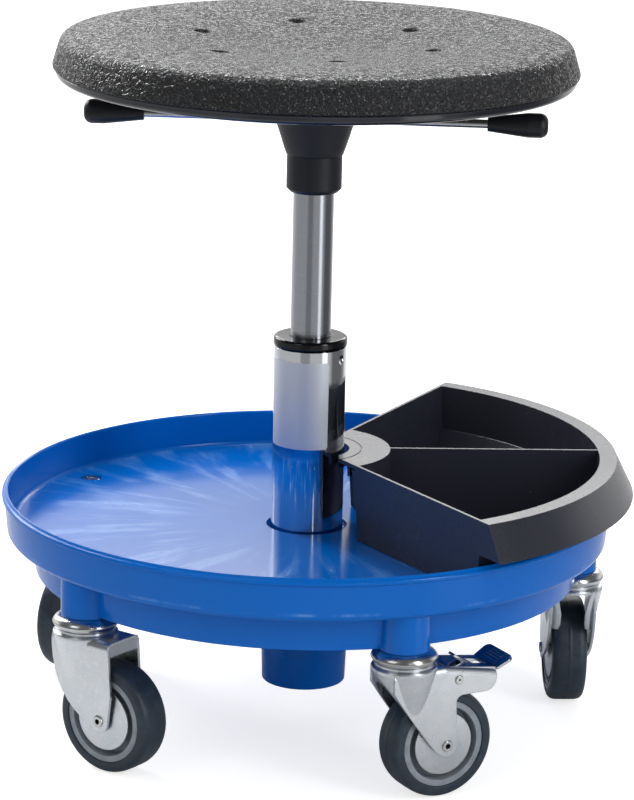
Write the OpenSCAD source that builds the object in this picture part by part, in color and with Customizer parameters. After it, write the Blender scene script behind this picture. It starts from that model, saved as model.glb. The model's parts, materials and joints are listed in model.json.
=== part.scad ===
// Low rolling workshop stool: a round foam seat on a gas lift, a dished tool tray on five
// castors, and a two-compartment bin that hangs over the tray's rim and swings round the column.
// Millimetres. +Z is up, the origin is on the floor under the column, and +X points along
// the bin when the stool is at rest.

/* [Seat] */
// Diameter of the seat at its widest, just above the seam
seat_d = 356; // [320:1:390]
// Height of the foam from its lower edge to the crest of the rim
seat_h = 30; // [26:1:40]
// How far the middle of the seat is dished below its crest
seat_dish = 9; // [4:0.5:12]
// Diameter of the board inside the foam
board_d = 300; // [220:1:305]
// Thickness of the board
board_t = 9; // [6:0.5:11]
// Radius of the ring of vent holes
vent_ring_r = 83; // [75:1:110]
// Diameter of one vent hole
vent_d = 11; // [6:0.5:14]

/* [Gas lift] */
// Travel of the seat between its highest and lowest place
stroke = 95; // [60:1:100]
// Diameter of the sliding gas cylinder
cylinder_d = 28; // [24:1:30]
// Diameter of the stand tube
stand_d = 50; // [46:1:52]
// Wall of the stand tube
stand_wall = 1.5; // [1:0.1:2]
// Height of the stand tube above the tray floor
stand_reach = 128; // [122:1:150]
// Diameter of the release rod
lever_d = 6; // [5:0.5:7]
// Distance between the outer ends of the two lever knobs
lever_span = 315; // [280:1:340]

/* [Tray] */
// Diameter of the tray over its lip
tray_d = 423; // [416:1:440]
// Height of the lip above the tray floor
rim_h = 25.5; // [20:0.5:29]
// Wall of the tray moulding
tray_wall = 3; // [2.5:0.1:4]
// Diameter of a castor boss
boss_d = 33.6; // [30:0.2:34]
// Height of a castor boss, from its end face to the underside of the floor
boss_h = 28; // [24:0.5:36]
// How far the castors stand in from the lower ring
castor_in = 3; // [1:0.5:8]
// Number of ribs under the floor
rib_count = 10; // [5:5:20]

/* [Bin] */
// Height of the bin
bin_h = 54.5; // [48:0.5:70]
// Half of the angle between the two straight sides of the bin
bin_half_angle = 60; // [40:1:70]
// Wall of the bin
bin_wall = 2.2; // [1.8:0.1:3]

/* [Castors] */
// Diameter of a wheel
wheel_d = 75; // [70:1:78]
// Width of a tyre
tyre_w = 24.6; // [20:0.2:26]
// Height of a castor above its wheel, up to its mounting face
castor_room = 29; // [28:0.5:36]
// Distance from the swivel axis to the wheel axle
castor_trail = 25; // [20:0.5:28]
// Thickness of the fork's steel
fork_t = 2; // [1.5:0.1:2.5]

/* [Hidden] */
$fn = 72;

// Shared values
over = 1;          // how far a cutting shape runs past the face that it cuts
fit = 0.1;         // radial room of pieces that sit in each other without moving
slide_fit = 0.06;  // radial room of a sliding or turning shaft
seat_gap = 0.2;    // gap between faces that rest on each other
arc_steps = 7;     // straight steps in a rounded corner of a profile

// Tray
castor_h = wheel_d + castor_room;
floor_under_z = castor_h + boss_h;
floor_z = floor_under_z + tray_wall;
rim_z = floor_z + rim_h;
lip_h = 5;            // height of the rolled lip
lip_out = 1.5;        // how far the lip stands out past the band
lip_round = 1.6;      // rounding of the lip
band_draft = 2;       // how much narrower the band is at its foot than under the lip
band_foot_round = 4.5;// rounding of the band's foot
band_foot_w = 1.5;    // flat width of the band's foot
band_drop = 2;        // how far the band reaches below the underside of the floor
floor_fillet = 4;     // fillet between the floor and the band
ring_in = 20;         // how far the lower ring stands in from the band
ring_draft = 2;       // how much the lower ring narrows to its foot
ring_foot = 1;        // height of the ring's foot above the castor's mounting face
hub_drop = 110;       // reach of the column hub below the underside of the floor
hub_wall = 6.2;       // wall of the column hub at its top
hub_draft = 2;        // how much the hub narrows to its foot
hub_step = 0.5;       // step in the outside of the hub
hub_step_share = 0.79;// where the step is, as a share of the hub's reach
hub_floor_t = 6;      // thickness of the hub's end wall
hub_hole_r = 11;      // hole in the end wall, round the rod's clip
hub_round = 1.5;      // rounding of the hub's foot
recess_r = 3;         // how much wider than the tube the recess in the floor is
recess_h = 5;         // depth of that recess
rib_t = 2.5;          // thickness of a rib
rib_rise = 3;         // how far above the ring's foot a rib ends
rib_root = 14;        // how far a rib reaches below the ring's foot at the hub
lip_r = tray_d/2;
band_r = lip_r - lip_out;
band_foot_r = band_r - band_draft - band_foot_round;
band_foot_z = floor_under_z - band_drop;
wall_in_r = band_r - tray_wall;
ring_r = band_r - ring_in;
ring_foot_z = castor_h + ring_foot;
castor_circle_r = ring_r - castor_in;
stand_r = stand_d/2;
hub_bore_r = stand_r + fit;
hub_top_r = stand_r + hub_wall;
hub_foot_z = floor_under_z - hub_drop;
hub_seat_z = hub_foot_z + hub_floor_t;
castor_count = 5;
castor_step = 360/castor_count;

// Column
stand_z = hub_seat_z + seat_gap;
stand_top_z = floor_z + stand_reach;
stand_floor_t = 3;     // disc that closes the foot of the stand tube
dimple_r = 4.5;        // crimped dimple that keeps the bush in the tube
dimple_depth = 1.3;    // depth of a dimple
dimple_down = 7;       // how far the dimples lie below the top of the tube
dimple_count = 2;
dimple_turn = -34;     // bearing of the first dimple
bush_flange_h = 7;     // flange of the guide bush, above the tube
bush_flange_over = 0.5;// how far the flange stands out past the tube
bush_round = 2;        // rounding of the flange
bush_len = 68;         // reach of the bush inside the tube
bush_wiper = 1.2;      // depth of the chamfer that wipes the cylinder
cylinder_r = cylinder_d/2;
cylinder_wall = 1.4;
cylinder_bore_r = cylinder_r - cylinder_wall;
bush_top_z = stand_top_z + bush_flange_h;
end_gap = 6;           // gap between the sleeve and the bush with the seat right down
sleeve_z = bush_top_z + end_gap + stroke;
sleeve_h = 26;
sleeve_wall = 4.9;     // wall of the sleeve
sleeve_chamfer = 2.5;  // chamfer at the foot of the sleeve
cylinder_overlap = 19; // how much of the cylinder stays below the bush when it is right up
cylinder_z = stand_top_z - bush_len - cylinder_overlap;
hub_z = sleeve_z + sleeve_h;
taper_h = 27;          // tapered length at the top of the cylinder
taper_in = 0.8;        // how much the taper narrows
cone_hold = 15;        // how much of the taper sits in the seat hub
cylinder_top_z = hub_z + cone_hold;
guide_h = 11;          // seal pack in the foot of the cylinder
valve_h = 30;          // valve body in the head of the cylinder
head_t = 1;            // rolled edge over the valve body
rod_r = 5;             // piston rod
rod_tail = 4.7;        // how far the rod ends below the tube's disc
piston_h = 14;
piston_lift = 2;       // gap between the seal pack and the piston with the seat right up
piston_groove = 1.2;   // groove for the piston's seal
race_t = 2;            // race of the thrust bearing
race_r = 14;
ball_r = 2.4;
ball_ring_r = 9.6;
ball_count = 9;
ball_gap = 0.1;        // gap over and under a ball
race_z = stand_z + stand_floor_t + seat_gap;
race_top_z = race_z + race_t + 2*ball_r + 2*ball_gap;
buffer_h = 22;
buffer_r = 13;
buffer_waist = 1.5;    // how much the rubber buffer draws in at its middle
clip_t = 2;
clip_w = 3.5;
clip_gap = 0.3;        // gap between the clip and the tube's disc
piston_z = cylinder_z + guide_h + piston_lift;

// Seat hub and release lever
seat_turn = -6;        // bearing of the release rod
vent_turn = 43;        // bearing of the first vent hole, from the rod
vent_count = 6;
seat_hub_h = 51;       // height of the hub, from the sleeve to the board
hub_lip = 0.6;         // how far the hub's foot stands out past the sleeve
hub_flare_shares = [[0, 0], [0.075, 0.035], [0.31, 0.13], [0.47, 0.2], [0.67, 0.29],
  [0.8, 0.39], [0.88, 0.55], [0.92, 0.92], [0.93, 1]];
flange_r = 60;         // mounting flange under the seat
flange_wall = 4;       // wall of the hub
cavity_r = 11;         // hollow in the hub above the cylinder
cavity_gap = 1;        // step between the cylinder's head and the hollow
slot_w = 1;            // how much wider than the rod its slot is
lever_z_share = 0.47;  // height of the rod, as a share of the hub's height
lever_turn = 6;        // how far the rod tips
slot_top = 0.3;        // gap above the rod at rest
pin_r = 4;
pin_dome_r = 8;        // radius of the pin's domed head
pin_gap = 0.15;        // gap between the pin and the rod
pin_sink = 17;         // reach of the pin into the valve body
pin_travel = 3.5;      // how far the pin can be pressed in
screw_ring_r = 50;
screw_count = 4;
screw_r = 3;
screw_head_r = 5.5;
screw_head_h = 3.2;
screw_bite = 7;        // reach of a screw into the board
socket_r = 2.5;        // hexagon socket
socket_h = 1.8;
knob_len = 41;
knob_r = 8.4;
knob_neck_r = 5;
knob_round = 5.5;
knob_bore_len = 34;
rod_stop = 0.5;        // gap between the rod's end and the end of the knob's bore
sleeve_r = cylinder_r + sleeve_wall;
hub_foot_r = sleeve_r + hub_lip;
seat_z = hub_z + seat_hub_h;
flange_z = hub_z + seat_hub_h*hub_flare_shares[7][0];
lever_r = lever_d/2;
lever_z = hub_z + seat_hub_h*lever_z_share;
fulcrum_r = hub_foot_r + (flange_r - hub_foot_r)*hub_flare_shares[3][1];
slot_z0 = lever_z - lever_r - 2*fulcrum_r*tan(lever_turn) - seat_gap;
slot_z1 = lever_z + lever_r + slot_top;
pin_top_z = lever_z - lever_r - pin_gap;
taper_z = cylinder_top_z - taper_h;

// Seat
seat_r = seat_d/2;
lip_band = 6.5;        // smooth band under the seam
band_in = 5;           // how much that band draws in to its foot
band_round = 3;
seam_depth = 0.8;      // groove at the seam
seam_w = 0.8;
side_in = 7;           // how much the side leans in to the rim
rim_round = 6.5;       // rounding between the side and the top
crest_in = 17;         // how far the crest lies in from the side's top
top_fall = 1.6;        // how much lower the top's outer edge is than its crest
dish_steps = 8;
vent_chamfer = 1.6;    // softened mouth of a vent hole
board_gap = 0.3;       // room round the board
pad_z = seat_z + seat_gap;
seam_z = pad_z + lip_band;
seat_top_z = pad_z + seat_h;

// Bin
bin_gap = 0.4;         // gap between the bin and the tray floor
bin_side_in = 3.2;     // how far each straight side is set in from a line through the column's axis
bin_side_draft = 4.4;  // how much each straight side draws in to the floor
bin_draft = 6;         // how much the curved wall draws in to the floor
bin_play = 3.1;        // least room between the bin's curved wall and the tray's wall
bin_floor_t = 2;
bin_shelf = 11.9;      // width of the flat top of the curved side
skirt_out = 12;        // how far the skirt stands out at its foot
skirt_h = 24;          // height of the skirt
neck_r = 57;           // the compartments start here
neck_t = 3;            // thickness of the plate over the column
neck_step = 3;         // step in the wall at the column
side_end_r = 50.5;     // the straight sides end here, under the plate
neck_step_share = 0.45;// height of the step, as a share of the bin's height
collar_play = 3.5;     // room between the collar and the stand tube
collar_w = 2.6;        // wall of the collar
collar_h = 8;          // depth of the collar
collar_open = 20;      // where the collar is cut off, from the axis
groove_in = 11.5;      // groove in the plate, from the stand tube
groove_w = 0.9;
groove_h = 0.8;
panel_turn = 31;       // bearing of a label field
panel_span = 17;       // width of a label field, in degrees
panel_h = 19.5;        // height of a label field
panel_depth = 0.5;
panel_round = 3;       // rounding of its corners
bin_z = floor_z + bin_gap;
bin_top_z = bin_z + bin_h;
bin_r = wall_in_r - bin_play;
bin_foot_r = bin_r - bin_draft;
collar_r = stand_r + collar_play;
shelf_in_r = bin_r - bin_wall;
shelf_r = shelf_in_r + bin_shelf;

// Castors
castor_headings = [91, 72, 243, -39, 26];  // bearing of each wheel from its swivel axis
braked = 5;            // number of the castor that has the brake
wheel_r = wheel_d/2;
axle_z = wheel_r;
cap_r = 22.3;
cap_t = 2;
cap_h = 8.2;
cap_top_r = 17.4;      // flat top of the cap, under the boss
cap_fall = 5.2;        // height of the dome, from the flat top to the cap's widest line
cap_foot_in = 1.7;     // how much the cap's skirt draws in to its foot
cap_lip_t = 1.2;       // thickness of the skirt's foot
cap_hole_r = 4.3;
race_ball_r = 2.2;
race_ball_ring_r = 15.6;
race_ball_count = 10;
cap_z = castor_h - cap_h;
head_z = castor_h - cap_t - 2*race_ball_r - 2*ball_gap;
head_r = 18.8;
head_fall = 5;         // height of the drawn head above the fork's plate
head_flare_r = 22;     // shoulder of the drawn head
head_band_r = 19.6;    // band between the shoulder and the race
head_band_h = 1.6;     // height of that band
head_round = 1.5;
head_hole_r = 8.4;
plate_z = head_z - head_fall;
kingpin_r = 7.9;
kingpin_bore_r = 4.2;
kingpin_flange_r = 13;
kingpin_flange_t = 2.4;
bolt_r = 4;
bolt_head_r = 6.4;
bolt_head_h = 3;
bolt_dome = 0.9;
bolt_seat_h = 3.6;     // depth of the recess that takes the head
bolt_seat_r = 7.4;
boss_bore_r = 4.4;
cross_w = 1.3;         // cross recess in the bolt's head
cross_span = 6.4;
cross_h = 1.6;
nut_af = 13;
nut_h = 6.3;
bolt_tail = 1.5;
fork_gap = 14.5;       // half of the gap between the fork's legs
fork_bend = 4.5;       // outer radius of the bend at the top of a leg
cone_fall = 30;        // height of the drawn cone under the head
fork_lead = 16;        // reach of the fork ahead of the swivel axis
fork_tail = 10;        // reach of a leg behind the axle
leg_end_r = 8;
leg_steps = 9;
belly_out = 1;         // pull of the leg's leading curve
belly_up = 11;
tail_in = 2.6;         // how much the leg's rear edge leans in at its top
bridge_h = 10;         // wall that joins the legs behind the wheel
arm_reach = 36.5;      // reach of the brake arms behind the axle
arm_h = 21;            // depth of the arms
arm_round = 5;         // fillet between a leg and its arm
arm_end_round = 9;     // rounding of the arms' lower corner
arm_fall = 7;          // how much the arms' upper edge falls to their end
leg_lean = 2;          // how much the leg's rear edge leans in below the arm
nose_pull = 9;         // pull of the braked leg's leading curve, ahead of the swivel axis
nose_up = 28.5;        // and above the axle
axle_r = 3;
axle_head_r = 4.1;
axle_head_t = 1.1;
axle_bore_r = 1.8;
core_r = 29.4;
core_rim_w = 22.6;
core_rim_t = 4.8;
core_web_t = 5;
core_hub_r = 9;
core_hub_w = 22.8;
tread_w = 12;
shoulder = 5;          // how much lower the tyre's flank starts than its tread
tyre_lip = 0.8;        // how far the tyre stands in at the rim
guard_r = 21.2;
guard_t = 0.9;
guard_dome = 1.1;
guard_hub_r = 8;
fork_w = 2*(fork_gap + fork_t);
axle_x = castor_trail;

// Brake
pivot_x = 7.5;         // brake pivot behind the axle
pivot_up = 7.4;        // brake pivot above the tyre's top
pivot_r = 2.2;
pivot_head_r = 3.2;
pivot_head_t = 0.9;
pedal_t = 1.8;
pedal_play = 1.3;      // room between the pedal's cheeks and the arms
pedal_rise = 8;        // top of the pedal above its pivot
pedal_lean = 8;        // slope of the pedal at rest, in degrees
pedal_front = 9;       // reach of the pedal ahead of its pivot
pedal_reach = 30.6;    // reach of the pedal's flat part behind its pivot
pedal_lip = 13.6;      // length of the pedal's tread
pedal_lip_rise = 36;   // slope of the tread against the flat part, in degrees
pedal_lip_w = 32;
pedal_lip_round = 4;
cheek_h = 11;
shoe_x = 9;            // brake shoe behind the pivot
shoe_w = 16;
shoe_len = 6;
brake_turn = 12;       // how far the pedal tips until the brake is on
shoe_rest = 0.4;       // room between the shoe and the tyre when the brake is on
tab_h = 10.5;          // tongue that stands up from the pedal
tab_w = 7;
tab_x = 12;
tab_tilt = 62;         // lean of the tongue from upright, in degrees
window_w = 10;
window_len = 10;
window_x = 15.5;       // start of the window behind the pivot
grip_count = 5;
grip_h = 0.5;
grip_w = 1.1;
pivot_at_x = axle_x + pivot_x;
pivot_z = axle_z + wheel_r + pivot_up;

// Points of an arc round c, from angle a0 to a1
function arc(c, r, a0, a1, n = arc_steps) =
  [for (i = [0:n]) [c[0] + r*cos(a0 + (a1 - a0)*i/n), c[1] + r*sin(a0 + (a1 - a0)*i/n)]];
// Points of a curve that leaves a towards b and ends at c
function bend(a, b, c, n = leg_steps) =
  [for (i = [0:n]) let (s = i/n) (1 - s)*(1 - s)*a + 2*s*(1 - s)*b + s*s*c];

// A ring or tube between two radii
module tube(r_out, r_in, h) {
  difference() {
    cylinder(r = r_out, h = h);
    translate([0, 0, -over]) cylinder(r = r_in, h = h + 2*over);
  }
}
module at_castor(k) {
  rotate([0, 0, castor_step*(k - 1)])
    translate([castor_circle_r, 0, 0])
      rotate([0, 0, castor_headings[k - 1] - castor_step*(k - 1)])
        children();
}
module at_each_castor() {
  for (k = [1:castor_count]) at_castor(k) children();
}
// Seat parts are drawn with the release rod along X, then turned to its bearing
module turned_seat() {
  rotate([0, 0, seat_turn]) children();
}

// Tray
function tray_profile() = concat(
  [[stand_r + recess_r, floor_z]],
  arc([wall_in_r - band_draft - floor_fillet, floor_z + floor_fillet], floor_fillet, -90, 0),
  arc([wall_in_r + lip_round, rim_z - lip_round], lip_round, 180, 90),
  arc([lip_r - lip_round, rim_z - 2*lip_round], lip_round, 90, 0),
  [[lip_r, rim_z - lip_h + lip_round/2], [lip_r - lip_round/2, rim_z - lip_h],
   [band_r, rim_z - lip_h]],
  arc([band_foot_r, band_foot_z + band_foot_round], band_foot_round, 0, -90),
  [[band_foot_r - band_foot_w, band_foot_z], [band_foot_r - band_foot_w, floor_under_z],
   [ring_r, floor_under_z], [ring_r - ring_draft, ring_foot_z],
   [ring_r - ring_draft - tray_wall, ring_foot_z], [ring_r - tray_wall, floor_under_z],
   [hub_top_r, floor_under_z],
   [hub_top_r - hub_draft*hub_step_share/2, floor_under_z - hub_drop*hub_step_share],
   [hub_top_r - hub_draft*hub_step_share/2 - hub_step, floor_under_z - hub_drop*hub_step_share]],
  arc([hub_top_r - hub_draft - hub_round, hub_foot_z + hub_round], hub_round, 0, -90),
  [[hub_hole_r, hub_foot_z], [hub_hole_r, hub_seat_z], [hub_bore_r, hub_seat_z],
   [hub_bore_r, floor_z - recess_h], [stand_r + recess_r, floor_z - recess_h]]);

module tray_rib() {
  rotate([90, 0, 0]) translate([0, 0, -rib_t/2]) linear_extrude(rib_t)
    polygon([[hub_top_r - hub_wall/2, floor_under_z + tray_wall/2],
             [ring_r - ring_draft - tray_wall/2, floor_under_z + tray_wall/2],
             [ring_r - ring_draft - tray_wall/2, ring_foot_z + rib_rise],
             [hub_top_r - hub_wall/2, ring_foot_z - rib_root]]);
}

module tray() {
  color("royalblue") difference() {
    union() {
      rotate_extrude() polygon(tray_profile());
      for (i = [0:rib_count - 1]) rotate([0, 0, 360*i/rib_count]) tray_rib();
      at_each_castor() translate([0, 0, castor_h]) cylinder(d = boss_d, h = boss_h + tray_wall/2);
    }
    at_each_castor() {
      translate([0, 0, castor_h - over]) cylinder(r = boss_bore_r, h = boss_h + tray_wall + 2*over);
      translate([0, 0, floor_z - bolt_seat_h]) cylinder(r = bolt_seat_r, h = bolt_seat_h + over);
    }
  }
}

// Column
module at_dimples() {
  for (i = [0:dimple_count - 1]) rotate([0, 0, dimple_turn + 360*i/dimple_count])
    translate([stand_r - dimple_depth + dimple_r, 0, stand_top_z - dimple_down]) children();
}
// The tube's wall is pressed in at each dimple, and its back stands in a hollow of the bush
module stand_tube() {
  color("gainsboro") difference() {
    union() {
      translate([0, 0, stand_z]) tube(stand_r, stand_r - stand_wall, stand_top_z - stand_z);
      translate([0, 0, stand_z]) cylinder(r = stand_r - stand_wall/2, h = stand_floor_t);
      intersection() {
        at_dimples() sphere(r = dimple_r + stand_wall);
        translate([0, 0, stand_z]) cylinder(r = stand_r, h = stand_top_z - stand_z);
      }
    }
    translate([0, 0, stand_z - over]) cylinder(r = rod_r + fit, h = stand_floor_t + 2*over);
    at_dimples() sphere(r = dimple_r);
  }
}

module guide_bush() {
  flange_r_out = stand_r + bush_flange_over;
  sleeve_out_r = stand_r - stand_wall - fit;
  bore = cylinder_r + slide_fit;
  color("#202124") difference() {
    rotate_extrude() polygon(concat(
      [[bore, stand_top_z - bush_len], [sleeve_out_r, stand_top_z - bush_len],
       [sleeve_out_r, stand_top_z + seat_gap]],
      arc([flange_r_out - bush_round, stand_top_z + seat_gap + bush_round], bush_round, -90, 0),
      arc([flange_r_out - bush_round, bush_top_z - bush_round], bush_round, 0, 90),
      [[bore + bush_wiper, bush_top_z], [bore, bush_top_z - bush_wiper]]));
    at_dimples() sphere(r = dimple_r + stand_wall + fit);
  }
}

module bearing_lower_race() {
  color("silver") translate([0, 0, race_z]) tube(race_r, rod_r + fit, race_t);
}
module bearing_upper_race() {
  color("silver") translate([0, 0, race_top_z]) tube(race_r, rod_r + fit, race_t);
}
module bearing_balls() {
  color("silver") for (i = [0:ball_count - 1]) rotate([0, 0, 360*i/ball_count])
    translate([ball_ring_r, 0, race_z + race_t + ball_gap + ball_r]) sphere(r = ball_r);
}
module rubber_buffer() {
  z0 = race_top_z + race_t + seat_gap;
  color("#202020") rotate_extrude() polygon(
    [[rod_r + fit, z0], [buffer_r, z0], [buffer_r - buffer_waist, z0 + buffer_h/2],
     [buffer_r, z0 + buffer_h], [rod_r + fit, z0 + buffer_h]]);
}
module piston_rod() {
  color("silver") translate([0, 0, stand_z - rod_tail])
    cylinder(r = rod_r, h = piston_z - stand_z + rod_tail);
}
module rod_clip() {
  color("dimgray") translate([0, 0, stand_z - clip_gap - clip_t]) tube(rod_r + clip_w, rod_r + fit, clip_t);
}
module piston() {
  r = cylinder_bore_r - slide_fit;
  color("dimgray") rotate_extrude() polygon(
    [[0, piston_z], [r, piston_z], [r, piston_z + piston_h/3],
     [r - piston_groove, piston_z + piston_h/3], [r - piston_groove, piston_z + 2*piston_h/3],
     [r, piston_z + 2*piston_h/3], [r, piston_z + piston_h], [0, piston_z + piston_h]]);
}
module gas_cylinder() {
  color("lightgray") rotate_extrude() polygon(
    [[cylinder_bore_r, cylinder_z], [cylinder_r, cylinder_z], [cylinder_r, taper_z],
     [cylinder_r - taper_in, cylinder_top_z], [pin_r + fit, cylinder_top_z],
     [pin_r + fit, cylinder_top_z - head_t], [cylinder_bore_r - taper_in, cylinder_top_z - head_t],
     [cylinder_bore_r - taper_in, taper_z], [cylinder_bore_r, taper_z - taper_in]]);
}
module cylinder_guide() {
  color("dimgray") translate([0, 0, cylinder_z]) tube(cylinder_bore_r - fit, rod_r + slide_fit, guide_h);
}
module valve_body() {
  z1 = cylinder_top_z - head_t - seat_gap;
  color("goldenrod") difference() {
    translate([0, 0, z1 - valve_h + taper_in])
      cylinder(r = cylinder_bore_r - taper_in - fit, h = valve_h - taper_in);
    translate([0, 0, cylinder_top_z - pin_sink - pin_travel - seat_gap])
      cylinder(r = pin_r + slide_fit, h = pin_sink + pin_travel + over);
  }
}

// Seat hub and release
module hub_sleeve() {
  color("#2b2d31") rotate_extrude() polygon(
    [[cylinder_r + fit, sleeve_z], [sleeve_r - sleeve_chamfer, sleeve_z],
     [sleeve_r, sleeve_z + sleeve_chamfer], [sleeve_r, hub_z - seat_gap],
     [cylinder_r + fit, hub_z - seat_gap]]);
}

module seat_hub() {
  flare = [for (p = hub_flare_shares) [hub_foot_r + (flange_r - hub_foot_r)*p[1], hub_z + seat_hub_h*p[0]]];
  taper_r = function (z) cylinder_r - taper_in*(z - taper_z)/taper_h + fit;
  color("#2b2d31") difference() {
    rotate_extrude() polygon(concat(
      flare,
      [[flange_r, seat_z], [cavity_r + (flare[6][0] - cavity_r)/2, seat_z],
       [cavity_r, lever_z + lever_r + flange_wall], [cavity_r, cylinder_top_z + cavity_gap],
       [taper_r(cylinder_top_z), cylinder_top_z + cavity_gap], [taper_r(cylinder_top_z), cylinder_top_z],
       [taper_r(hub_z), hub_z]]));
    turned_seat() translate([-flange_r, -lever_r - slot_w/2, slot_z0])
      cube([2*flange_r, lever_d + slot_w, slot_z1 - slot_z0]);
    turned_seat() at_hub_screws() translate([0, 0, hub_z]) {
      cylinder(r = screw_r + fit, h = seat_hub_h + over);
      cylinder(r = screw_head_r + fit, h = flange_z - hub_z);
    }
  }
}
module at_hub_screws() {
  for (i = [0:screw_count - 1]) rotate([0, 0, (i + 0.5)*360/screw_count])
    translate([screw_ring_r, 0, 0]) children();
}
module hub_screws() {
  color("dimgray") turned_seat() at_hub_screws() difference() {
    union() {
      translate([0, 0, flange_z - seat_gap - screw_head_h]) cylinder(r = screw_head_r, h = screw_head_h);
      translate([0, 0, flange_z - seat_gap - screw_head_h/2])
        cylinder(r = screw_r, h = seat_z - flange_z + screw_head_h/2 + screw_bite);
    }
    translate([0, 0, flange_z - seat_gap - screw_head_h - over])
      cylinder(r = socket_r, h = socket_h + over, $fn = 6);
  }
}
module at_vents() {
  for (i = [0:vent_count - 1]) rotate([0, 0, vent_turn + 360*i/vent_count])
    translate([vent_ring_r, 0, 0]) children();
}
module seat_board() {
  color("burlywood") turned_seat() difference() {
    translate([0, 0, seat_z + seat_gap]) cylinder(d = board_d, h = board_t - seat_gap);
    at_vents() translate([0, 0, seat_z - over]) cylinder(d = vent_d, h = board_t + 2*over);
    at_hub_screws() translate([0, 0, seat_z - over])
      cylinder(r = screw_r + fit, h = over + screw_bite + seat_gap);
  }
}

// Height of the seat's top at a radius: the dish runs smoothly from the middle to the crest
crest_r = seat_r - side_in - crest_in;
function dish_z(r) = seat_top_z - seat_dish*(1 + cos(180*r/crest_r))/2;
function seat_profile() = concat(
  [[board_d/2 + board_gap, pad_z]],
  arc([seat_r - band_in, pad_z + band_round], band_round, -90, -20),
  [[seat_r - seam_depth, seam_z - seam_w], [seat_r - seam_depth - seam_w, seam_z - seam_w/2],
   [seat_r, seam_z + seam_w]],
  arc([seat_r - side_in - rim_round, seat_top_z - top_fall - rim_round], rim_round, 12, 84),
  [for (i = [0:dish_steps]) let (r = crest_r*(1 - i/dish_steps)) [r, dish_z(r)]],
  [[0, seat_z + board_t + board_gap], [board_d/2 + board_gap, seat_z + board_t + board_gap]]);
module seat_pad() {
  vent_z = dish_z(vent_ring_r);
  color("#26272b") turned_seat() difference() {
    rotate_extrude() polygon(seat_profile());
    at_vents() {
      translate([0, 0, seat_z - over]) cylinder(d = vent_d, h = seat_h + board_t);
      translate([0, 0, vent_z - vent_chamfer])
        cylinder(d1 = vent_d, d2 = vent_d + 4*vent_chamfer, h = 2*vent_chamfer);
    }
  }
}
module release_pin() {
  pin_z = cylinder_top_z - pin_sink;
  color("silver") intersection() {
    translate([0, 0, pin_z]) cylinder(r = pin_r, h = pin_top_z - pin_z + over);
    union() {
      translate([0, 0, pin_top_z - pin_dome_r]) sphere(r = pin_dome_r);
      translate([0, 0, pin_z - over]) cylinder(r = pin_dome_r, h = pin_top_z - pin_z + over - pin_dome_r/2);
    }
  }
}
module release_rod() {
  half = lever_span/2 - knob_len + knob_bore_len - rod_stop;
  color("silver") turned_seat() translate([-half, 0, lever_z]) rotate([0, 90, 0])
    cylinder(r = lever_r, h = 2*half);
}
module knob() {
  x0 = lever_span/2 - knob_len;
  turned_seat() translate([0, 0, lever_z]) rotate([0, 90, 0]) rotate_extrude() polygon(concat(
    [[lever_r + fit, x0], [knob_neck_r, x0], [knob_r, x0 + 2*knob_len/3]],
    arc([knob_r - knob_round, lever_span/2 - knob_round], knob_round, 0, 90),
    [[0, lever_span/2], [0, x0 + knob_bore_len], [lever_r + fit, x0 + knob_bore_len]]));
}
module knob_right() {
  color("#222428") knob();
}
module knob_left() {
  color("#222428") rotate([0, 0, 180]) knob();
}

// Bin
// The space between the two straight sides, which lean in towards the floor
module bin_side(inset) {
  reach = 2*shelf_r;
  rotate([0, 0, bin_half_angle]) translate([0, -bin_side_in - inset, bin_top_z])
    rotate([-atan2(bin_side_draft, bin_h), 0, 0]) translate([-reach, -reach, -reach])
      cube([2*reach, reach, 2*reach]);
}
module bin_wedge(inset) {
  intersection() {
    bin_side(inset);
    mirror([0, 1, 0]) bin_side(inset);
  }
}
module bin_pocket() {
  step_z = bin_z + bin_h*neck_step_share;
  difference() {
    intersection() {
      bin_wedge(bin_wall);
      translate([0, 0, bin_z]) cylinder(r1 = bin_foot_r - bin_wall, r2 = bin_r - bin_wall, h = bin_h);
      translate([0, 0, bin_z + bin_floor_t]) cylinder(r = bin_r, h = bin_h);
    }
    translate([0, 0, bin_z]) cylinder(r = neck_r + neck_step, h = step_z - bin_z);
    translate([0, 0, bin_z]) cylinder(r = neck_r, h = bin_h + over);
    translate([0, -bin_wall/2, bin_z]) cube([bin_r, bin_wall, bin_h + over]);
  }
}
// The column's side of the tub: the end wall is an arc, and the straight sides run on past it
module column_space() {
  low_h = bin_h*neck_step_share - bin_wall + over;
  high_h = bin_h - neck_t + over;
  translate([0, 0, bin_z - over]) cylinder(r = side_end_r + neck_step, h = low_h);
  translate([0, 0, bin_z - over]) cylinder(r = side_end_r, h = high_h);
  intersection() {
    bin_wedge(bin_wall);
    union() {
      translate([0, 0, bin_z - over]) cylinder(r = neck_r + neck_step - bin_wall, h = low_h);
      translate([0, 0, bin_z - over]) cylinder(r = neck_r - bin_wall, h = high_h);
    }
  }
  translate([0, 0, bin_top_z - neck_t - over]) cylinder(r = neck_r - bin_wall, h = neck_t + 2*over);
}
module bin_tub() {
  difference() {
    intersection() {
      bin_wedge(0);
      translate([0, 0, bin_z]) cylinder(r1 = bin_foot_r, r2 = bin_r, h = bin_h);
    }
    column_space();
  }
}
module bin_skirt() {
  z0 = bin_top_z - skirt_h;
  foot_r = shelf_r + skirt_out;
  difference() {
    intersection() {
      bin_wedge(0);
      translate([0, 0, z0]) cylinder(r1 = foot_r, r2 = shelf_r, h = skirt_h);
    }
    intersection() {
      bin_wedge(bin_wall);
      translate([0, 0, z0 - neck_t]) cylinder(r1 = foot_r - bin_wall, r2 = shelf_r - bin_wall, h = skirt_h);
    }
    translate([0, 0, z0 - over]) cylinder(r = bin_r - bin_draft/2, h = skirt_h + 2*over);
    for (s = [-1, 1]) label_field(s);
  }
}
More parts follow.
